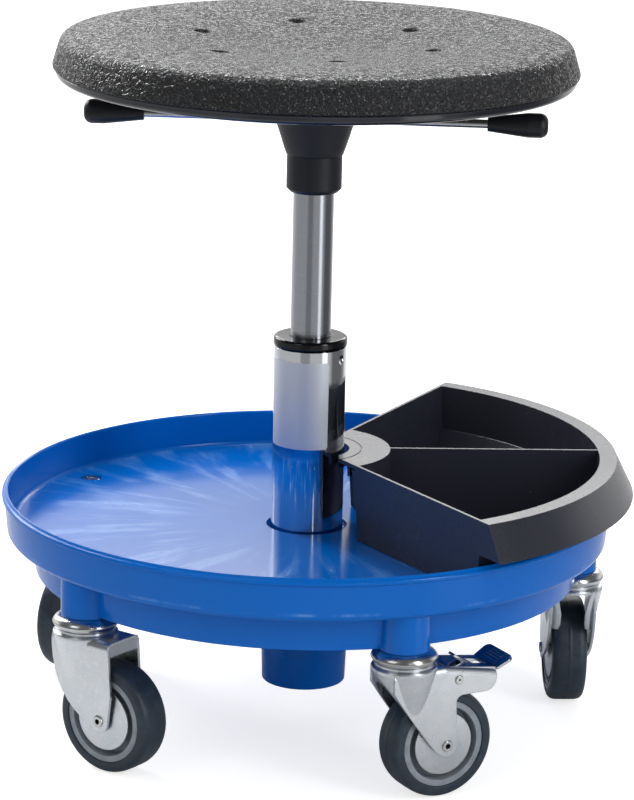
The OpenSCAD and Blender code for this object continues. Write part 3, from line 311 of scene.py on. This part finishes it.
# Polypropylene with a fine eroded grain: black with a cool grey sheen where light grazes it
BIN = black_plastic("polypropylene_black_moulded", "#2A2C36", 0.26, 0.55 * MM, 0.018 * MM, 0.6 * MM, 1.53)
# Glass-filled nylon: matt black, its glass lying just under the skin
HUB = black_plastic("glass_filled_nylon_black", "#1B1D25", 0.45, 0.6 * MM, 0.05 * MM, 0.8 * MM)
# Polyethylene, moulded for the hand: black with a waxy sheen
KNOB = black_plastic("polyethylene_black_grip", "#16181D", 0.4, 0.5 * MM, 0.03 * MM, 0.5 * MM)
# Acetal, turned and polished: deep black with sharp highlights
BUSH = black_plastic("acetal_black_polished", "#07080B", 0.09, 0.8 * MM, 0.004 * MM, 0.3 * MM)
# Nitrile rubber, moulded: dead black and dull
BUFFER = black_plastic("nitrile_rubber_black", "#141414", 0.6, 0.5 * MM, 0.04 * MM, 0.4 * MM)
SKIN = seat_skin()
CHROME = chrome_plate()
# Steel tube, ground and hard: bright and satin, with a highlight drawn out along it
CYLINDER = turned_metal("steel_tube_ground", "#B4B7BE", 0.2, 0.35 * MM, 0.012 * MM, 0.7)
# Bright steel, turned: bare metal, slightly grey
STEEL = turned_metal("steel_bright_turned", "#9EA0A4", 0.26, 0.3 * MM, 0.01 * MM)
# Brass, turned: warm yellow metal with fine tool lines
BRASS = turned_metal("brass_turned", "#C9A765", 0.22, 0.3 * MM, 0.01 * MM)
# The forks' sheet is palest, the small turned and pressed pieces are warmer, the pedal is glossiest
FORK = zinc_plate("sheet_steel_zinc_plated", "#DCDFE2", "#CFD5DB", 0.3)
CAP = zinc_plate("pressed_cap_zinc_plated", "#D4D2CC", "#C9CFD5", 0.22)
PEDAL = zinc_plate("pedal_steel_zinc_plated", "#D0D4DA", "#C2C8D0", 0.12)
FOIL = satin_foil()
TYRE = tyre_rubber()
CORE = core_nylon()
PLY = birch_plywood()

CASTORS = range(1, 6)
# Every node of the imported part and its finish
FINISHES = {
    "tray": TRAY, "stand_tube": CHROME, "guide_bush": BUSH, "bearing_lower_race": STEEL,
    "bearing_upper_race": STEEL, "bearing_balls": STEEL, "castor_caps": CAP, "castor_kingpins": CAP,
    "castor_balls": STEEL, "castor_bolts": CAP, "castor_nuts": CAP, "piston_rod": CHROME,
    "piston": STEEL, "rod_clip": STEEL, "rubber_buffer": BUFFER, "gas_cylinder": CYLINDER,
    "cylinder_guide": STEEL, "valve_body": BRASS, "hub_sleeve": HUB, "seat_hub": HUB,
    "hub_screws": CAP, "seat_board": PLY, "seat_pad": SKIN, "release_pin": STEEL,
    "release_rod": CAP, "knob_right": KNOB, "knob_left": KNOB, "bin": BIN,
    "brake_pedal": PEDAL, "brake_rivet": CAP}
for k in CASTORS:
    FINISHES.update({f"fork_{k}": FORK, f"axle_{k}": CAP, f"tyre_{k}": TYRE,
                     f"wheel_core_{k}": CORE, f"thread_guards_{k}": FORK})
for node_name, node in frame["nodes"].items():
    node.data.materials.clear()
    node.data.materials.append(FINISHES[node_name])


# Pieces
def piece(name, mesh, finish, smooth_to=35.0):
    """A new object from a bmesh, shaded smooth except where faces meet at more than smooth_to
    degrees."""
    weld = 0.001 * MM
    bmesh.ops.remove_doubles(mesh, verts=mesh.verts, dist=weld)
    bmesh.ops.recalc_face_normals(mesh, faces=mesh.faces)
    data = bpy.data.meshes.new(name)
    mesh.to_mesh(data)
    mesh.free()
    for face in data.polygons:
        face.use_smooth = True
    data.set_sharp_from_angle(angle=math.radians(smooth_to))
    data.materials.append(finish)
    obj = bpy.data.objects.new(name, data)
    bpy.context.scene.collection.objects.link(obj)
    return obj


def revolved(outline, steps, place=Matrix.Identity(4), closed=False):
    """A bmesh of an outline of (radius, height) points in millimetres turned about its axis, in
    steps round it; closed joins the outline's end to its start."""
    mesh = bmesh.new()
    turns = [2 * math.pi * i / steps for i in range(steps)]
    rings = []
    for r, z in outline:
        around = turns if r > 0 else turns[:1]
        points = [place @ (MM * Vector((r * math.cos(a), r * math.sin(a), z))) for a in around]
        rings.append([mesh.verts.new(point) for point in points])
    pairs = list(zip(rings, rings[1:])) + ([(rings[-1], rings[0])] if closed else [])
    for low, high in pairs:
        for i in range(steps):
            j = (i + 1) % steps
            corners = [low[i % len(low)], low[j % len(low)], high[j % len(high)], high[i % len(high)]]
            face = [v for n, v in enumerate(corners) if v not in corners[:n]]
            if len(face) > 2:
                mesh.faces.new(face)
    return mesh


def bend(start, pull, end, count):
    """Points of a smooth bend that leaves start towards pull and ends at end."""
    points = []
    for s in (n / count for n in range(count + 1)):
        shares = ((1 - s) ** 2, 2 * s * (1 - s), s * s)
        points.append(tuple(sum(q * p[i] for q, p in zip(shares, (start, pull, end))) for i in (0, 1)))
    return points


def seat_cushion():
    """The seat: one moulding of foam with its own skin, dished, with a seam and six vents. Sizes
    in millimetres."""
    low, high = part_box("seat_pad")
    foot, crest, rim = low.z / MM, high.z / MM, high.x / MM
    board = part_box("seat_board")[1]
    board_gap = 0.3
    board_r, board_top = board.x / MM + board_gap, board.z / MM + board_gap
    seam = foot + 6.5
    shoulder = rim - 7
    crest_r = shoulder - 17
    dish_depth, dish_steps, seat_steps = 9, 30, 216
    vent_count, vent_circle, vent_r, mouth_r, vent_steps = 6, 83, 5.5, 8.2, 40
    first_vent, vent_pitch = math.radians(37), math.radians(360 / 6)
    unevenness, settle_rise = 0.09 * MM, 4

    def dish(r):
        """The height of the seat's top at radius r."""
        return crest - dish_depth * (1 + math.cos(math.pi * r / crest_r)) / 2

    # Underside, the band under the seam, the seam, the side, the shoulder and the dished top
    outline = [(0, board_top), (board_r - 2, board_top)]
    outline += bend((board_r - 1, board_top), (board_r, board_top), (board_r, board_top - 1), 3)
    outline += bend((board_r, foot + 1.2), (board_r, foot), (board_r + 1.2, foot), 4)
    outline += bend((rim - 7.4, foot), (rim - 2.6, foot + 0.1), (rim - 1.9, foot + 4.4), 8)
    outline += [(rim - 1.5, seam - 1)]
    outline += bend((rim - 1.35, seam - 0.6), (rim - 1.9, seam), (rim - 0.7, seam + 0.5), 6)
    outline += bend((rim - 0.25, seam + 1.1), (rim, seam + 1.6), (rim - 0.1, seam + 2.4), 4)
    bulge = (shoulder + 1.4, crest - 1.9)
    outline += bend((shoulder + 3, crest - 8), bulge, (shoulder - 4.6, crest - 1.3), 12)
    outline += bend((shoulder - 7, crest - 0.9), (crest_r + 4, crest), (crest_r, crest), 5)
    top = [crest_r * n / dish_steps for n in range(dish_steps - 1, -1, -1)]
    outline += [(r, dish(r)) for r in top]
    mesh = revolved(outline, seat_steps)
    # The moulding is never quite even: long shallow waves, inwards, that die out at the seam. Each
    # has its lobes round the seat, its twist in radians a metre, its start and its share
    waves = ((3, 0, 1.3, 1.0), (5, 40, 0, 0.7), (2, -60, 0, 0.5))
    for v in mesh.verts:
        above = v.co.z / MM - seam
        if above > 0:
            turn = math.atan2(v.co.y, v.co.x)
            reach = math.hypot(v.co.x, v.co.y)
            sunk = 0.0
            for lobes, twist, start, share in waves:
                sunk += share * (1 + math.sin(lobes * turn + twist * reach + start))
            v.co.z -= unevenness * sunk * min(1.0, above / settle_rise)
    seat = piece("seat_cushion", mesh, SKIN, 30)
    # The vents, each flared at its mouth
    drills = bmesh.new()
    for n in range(vent_count):
        turn = first_vent + vent_pitch * n
        place = Matrix.Translation((vent_circle * MM * math.cos(turn), vent_circle * MM * math.sin(turn), 0))
        mouth = dish(vent_circle)
        drill = [(0, foot - 2), (vent_r, foot - 2)]
        drill += bend((vent_r, mouth - 2.6), (vent_r, mouth - 0.5), (mouth_r, mouth + 1.2), 7)
        drill += [(0, mouth + 1.2)]
        single = revolved(drill, vent_steps, place)
        data = bpy.data.meshes.new("drill")
        single.to_mesh(data)
        single.free()
        drills.from_mesh(data)
        bpy.data.meshes.remove(data)
    cutter = piece("vent_drills", drills, SKIN)
    trim = seat.modifiers.new("vents", "BOOLEAN")
    trim.object = cutter
    trim.operation = "DIFFERENCE"
    trim.solver = "EXACT"
    trimmed = seat.evaluated_get(bpy.context.evaluated_depsgraph_get())
    seat_mesh = bpy.data.meshes.new_from_object(trimmed)
    seat.modifiers.clear()
    seat.data = seat_mesh
    bpy.data.objects.remove(cutter)
    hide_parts("seat_pad")
    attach(seat, "seat")


def bin_slope(name, side):
    """The foot of the bin's curved wall in one compartment: below the tray's lip the wall slopes in
    to the floor. side is 1 behind the divider and -1 in front of it. Sizes in millimetres."""
    low, high = (corner.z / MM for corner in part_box("bin"))
    wall_r, wall_draft = 201.6, 6.0
    side_angle, side_in, side_draft = math.radians(60), 5.5, 4.4
    floor_t, divider_half = 2.05, 1.2
    slope_drop, slope_foot = 31.0, 11.6
    steps = 40

    def corner_at(drop, stand_in):
        """Radius, height and how far the straight side stands in, drop below the bin's top."""
        share = drop / (high - low)
        return wall_r - wall_draft * share - stand_in, high - drop, side_in + side_draft * share

    floor_drop = high - low - floor_t
    corners = [corner_at(slope_drop, 0), corner_at(floor_drop, slope_foot), corner_at(floor_drop, 0)]
    mesh = bmesh.new()
    rings = []
    for i in range(steps + 1):
        ring = []
        for r, z, inset in corners:
            first = math.asin(divider_half / r)
            last = side_angle - math.asin(inset / r)
            turn = side * (first + (last - first) * i / steps)
            ring.append(mesh.verts.new((r * MM * math.cos(turn), r * MM * math.sin(turn), z * MM)))
        rings.append(ring)
    for a, b in zip(rings, rings[1:]):
        for n in range(len(corners)):
            m = (n + 1) % len(corners)
            mesh.faces.new((a[n], a[m], b[m], b[n]))
    mesh.faces.new(rings[0])
    mesh.faces.new(rings[-1])
    obj = piece(name, mesh, BIN)
    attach(obj, "bin")


def column_foil():
    """A blank sheet of satin foil stuck round the front of the stand tube, its corners rounded."""
    tube_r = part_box("stand_tube")[1].x
    low, high, corner = 194.5 * MM, 255.7 * MM, 1.6 * MM
    glue, foil_t = 0.03 * MM, 0.08 * MM
    left, right = math.radians(-170.0), math.radians(-61.2)
    columns, rows = 48, 16
    mesh = bmesh.new()
    sides = []
    for radius in (tube_r + glue, tube_r + glue + foil_t):
        grid = []
        for i in range(columns + 1):
            turn = left + (right - left) * i / columns
            along = min(turn - left, right - turn) * radius
            inset = corner - math.sqrt(max(0.0, corner ** 2 - max(0.0, corner - along) ** 2))
            heights = [low + inset + (high - low - 2 * inset) * j / rows for j in range(rows + 1)]
            x, y = radius * math.cos(turn), radius * math.sin(turn)
            grid.append([mesh.verts.new((x, y, z)) for z in heights])
        for a, b in zip(grid, grid[1:]):
            for j in range(rows):
                mesh.faces.new((a[j], b[j], b[j + 1], a[j + 1]))
        edge = [column[0] for column in grid] + grid[-1][1:]
        edge += [column[-1] for column in grid[-2::-1]] + grid[0][-2:0:-1]
        sides.append(edge)
    for n in range(len(sides[0])):
        m = (n + 1) % len(sides[0])
        mesh.faces.new((sides[0][n], sides[0][m], sides[1][m], sides[1][n]))
    foil = piece("column_foil", mesh, FOIL)
    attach(foil, "base")


def tyre(k):
    """A tyre with a fine moulding line round the middle of its tread and rounded shoulders. Sizes
    in millimetres."""
    joint = next(j for j in frame["joints"] if j["name"] == f"wheel_spin_{k}")
    facing = Vector(joint["axis"]).to_track_quat("Z", "Y").to_matrix().to_4x4()
    place = Matrix.Translation(Vector(joint["pos_m"])) @ facing
    half, outer, inner = 12.3, 37.5, 29.5
    tyre_steps = 96
    side = [(inner, half - 0.8)]
    side += bend((inner + 0.3, half - 0.15), (inner + 0.5, half), (inner + 1.2, half), 3)
    side += bend((outer - 5, half), (outer - 0.2, half - 0.1), (outer - 0.12, 6), 12)
    side += [(outer - 0.1, 2), (outer - 0.1, 0.45), (outer, 0.2)]
    outline = side + [(r, -z) for r, z in reversed(side)]
    obj = piece(f"tyre_tread_{k}", revolved(outline, tyre_steps, place, closed=True), TYRE, 40)
    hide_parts(f"tyre_{k}")
    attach(obj, f"wheel_{k}")


seat_cushion()
bin_slope("bin_slope_back", 1)
bin_slope("bin_slope_front", -1)
column_foil()
for k in CASTORS:
    tyre(k)


# Studio
WHITE = (1, 1, 1, 1)


def sector(tree, turn, middle, half):
    """1 where a heading in degrees is within half of middle, falling to 0 at one and a half."""
    away = put(tree, "Math", {0: turn, 1: middle}, operation="SUBTRACT")
    away = put(tree, "Math", {0: away}, operation="ABSOLUTE")
    return put(tree, "MapRange", {0: away, 1: half, 2: 1.5 * half, 3: 1.0, 4: 0.0})


def studio_floor():
    """A white floor. The eye sees it white with the object's soft shadow; its light on the object is that of
    plain white board. Polished metal sees the floor further off glow with painted light, as a studio's
    looks: white behind, greyer in front, with a painted pool of light to the right and painted dark patches
    beside it."""
    board_colour, lift = "#D4D4D4", 0.7
    floor_r, floor_steps = 9.0, 64
    near_end, far_start = 0.35, 0.7
    front, back = 110.0, 165.0
    # The painted pool of light and dark patches: heading and half width in degrees, and how much lighter or
    # darker
    painted_pool_and_patches = ((45.0, 7.0, 0.95), (-18.0, 12.0, -0.22), (100.0, 26.0, -0.36))
    mesh = bmesh.new()
    bmesh.ops.create_circle(mesh, cap_ends=True, radius=floor_r, segments=floor_steps)
    mat = bpy.data.materials.new("white_board")
    mat.use_nodes = True
    tree = mat.node_tree
    tree.nodes.clear()
    ray = put(tree, "LightPath", {}).node.outputs
    board = put(tree, "BsdfDiffuse", {"Color": linear(board_colour)})
    lifted = put(tree, "Math", {0: ray["Is Camera Ray"], 1: lift}, operation="MULTIPLY")
    glow = put(tree, "Emission", {"Color": WHITE, "Strength": lifted})
    near = put(tree, "AddShader", {0: board, 1: glow})
    place = put(tree, "TexCoord", {}, "Object")
    x, y = put(tree, "SeparateXYZ", {0: place}).node.outputs[:2]
    towards_front = put(tree, "Math", {0: y, 1: -1.0}, operation="MULTIPLY")
    turn = put(tree, "Math", {0: x, 1: towards_front}, operation="ARCTAN2")
    turn = put(tree, "Math", {0: turn}, operation="DEGREES")
    away = put(tree, "Math", {0: turn}, operation="ABSOLUTE")
    shade = put(tree, "MapRange", {0: away, 1: front, 2: back, 3: 0.5, 4: 1.0})
    for middle, half, change in painted_pool_and_patches:
        within = sector(tree, turn, middle, half)
        shade = put(tree, "Math", {0: within, 1: change, 2: shade}, operation="MULTIPLY_ADD")
    # Painted light: further off, glossy rays see the floor glow with this shade instead of the board
    far = put(tree, "Emission", {"Color": WHITE, "Strength": shade})
    reach = put(tree, "VectorMath", {0: place}, "Value", operation="LENGTH")
    distant = put(tree, "MapRange", {0: reach, 1: near_end, 2: far_start})
    mirrored = put(tree, "Math", {0: ray["Is Glossy Ray"], 1: distant}, operation="MULTIPLY")
    both = put(tree, "MixShader", {0: mirrored, 1: near, 2: far})
    put(tree, "OutputMaterial", {"Surface": both})
    piece("floor", mesh, mat)


def studio_world():
    """A grey room for the light on the object. The eye sees it white; metal and gloss see it
    white behind the object and darker in front and overhead, where the lamps hang."""
    room_light, dark_side, white_side = 0.55, 0.12, 1.0
    world = bpy.data.worlds.new("studio")
    bpy.context.scene.world = world
    world.use_nodes = True
    tree = world.node_tree
    tree.nodes.clear()
    ray = put(tree, "LightPath", {}).node.outputs
    heading = put(tree, "TexCoord", {}, "Generated")
    y, z = put(tree, "SeparateXYZ", {0: heading}).node.outputs[1:]
    behind = put(tree, "MapRange", {0: y, 1: 0.1, 2: 0.45})
    low_down = put(tree, "MapRange", {0: z, 1: 0.58, 2: 0.28})
    lit_zone = put(tree, "Math", {0: behind, 1: low_down}, operation="MULTIPLY")
    strength = put(tree, "MapRange", {0: lit_zone, 3: dark_side, 4: white_side})
    white = put(tree, "Background", {"Color": WHITE, "Strength": 1.0})
    mirrored = put(tree, "Background", {"Color": WHITE, "Strength": strength})
    room = put(tree, "Background", {"Color": WHITE, "Strength": room_light})
    glossy = put(tree, "Math", {0: ray["Is Glossy Ray"], 1: ray["Is Transmission Ray"]}, operation="MAXIMUM")
    lit = put(tree, "MixShader", {0: glossy, 1: room, 2: mirrored})
    seen = put(tree, "MixShader", {0: ray["Is Camera Ray"], 1: lit, 2: white})
    put(tree, "OutputWorld", {"Surface": seen})


def soft_box(name, at, aim, width, height, power):
    """A rectangular soft box at a place, turned to a point; metres and watts."""
    lamp = bpy.data.lights.new(name, "AREA")
    lamp.shape = "RECTANGLE"
    lamp.size = width
    lamp.size_y = height
    lamp.energy = power
    obj = bpy.data.objects.new(name, lamp)
    obj.location = at
    obj.rotation_euler = (Vector(aim) - Vector(at)).to_track_quat("-Z", "Y").to_euler()
    bpy.context.scene.collection.objects.link(obj)
    obj.visible_camera = False


def camera():
    """The photograph's view: the column's foot is the origin, and the bin's axis is turned a
    little away from the view's right. Metres and radians, the lens in millimetres."""
    bin_turn = math.radians(-2.5)
    back, height, aside = 2.4854, 0.8809, -0.0058
    tilt, roll, swing = 0.258485, 0.022864, 0.0044945
    film_width, lens = 36.0, 167.54
    ahead = Vector((math.sin(swing) * math.cos(tilt), math.cos(swing) * math.cos(tilt), -math.sin(tilt)))
    right = Vector((math.cos(swing), -math.sin(swing), 0))
    up = right.cross(ahead)
    rolled_right = math.cos(roll) * right + math.sin(roll) * up
    rolled_up = -math.sin(roll) * right + math.cos(roll) * up
    facing = Matrix((rolled_right, rolled_up, -ahead)).transposed().to_4x4()
    eye = bpy.data.cameras.new("camera")
    eye.sensor_width = film_width
    eye.lens = lens
    obj = bpy.data.objects.new("camera", eye)
    stand = Matrix.Translation((aside, -back, height))
    obj.matrix_world = Matrix.Rotation(bin_turn, 4, "Z") @ stand @ facing
    bpy.context.scene.collection.objects.link(obj)
    bpy.context.scene.camera = obj


studio_floor()
studio_world()
soft_box("key_back_left", (-1.3, 1.5, 1.6), (0, 0, 0.3), 0.6, 1.6, 36)
soft_box("rim_back", (-0.7, 2.6, 0.9), (0, 0, 0.2), 1.6, 0.9, 1.5)
soft_box("seat_rim", (0.2, 2.6, 1.35), (0, 0, 0.45), 2.6, 0.5, 21)
soft_box("strip_right", (1.5, -1.5, 1.1), (0, 0, 0.3), 0.55, 1.6, 18)
soft_box("strip_front", (0.62, -2.0, 0.75), (0, 0, 0.2), 0.1, 0.5, 0.6)
soft_box("fill_left", (-1.5, -1.5, 1.6), (0, 0, 0.2), 1.0, 1.0, 5)
soft_box("overhead", (-0.1, 0.5, 2.5), (0, 0, 0.2), 1.2, 1.2, 24)
camera()
bpy.context.scene.view_settings.view_transform = "Standard"
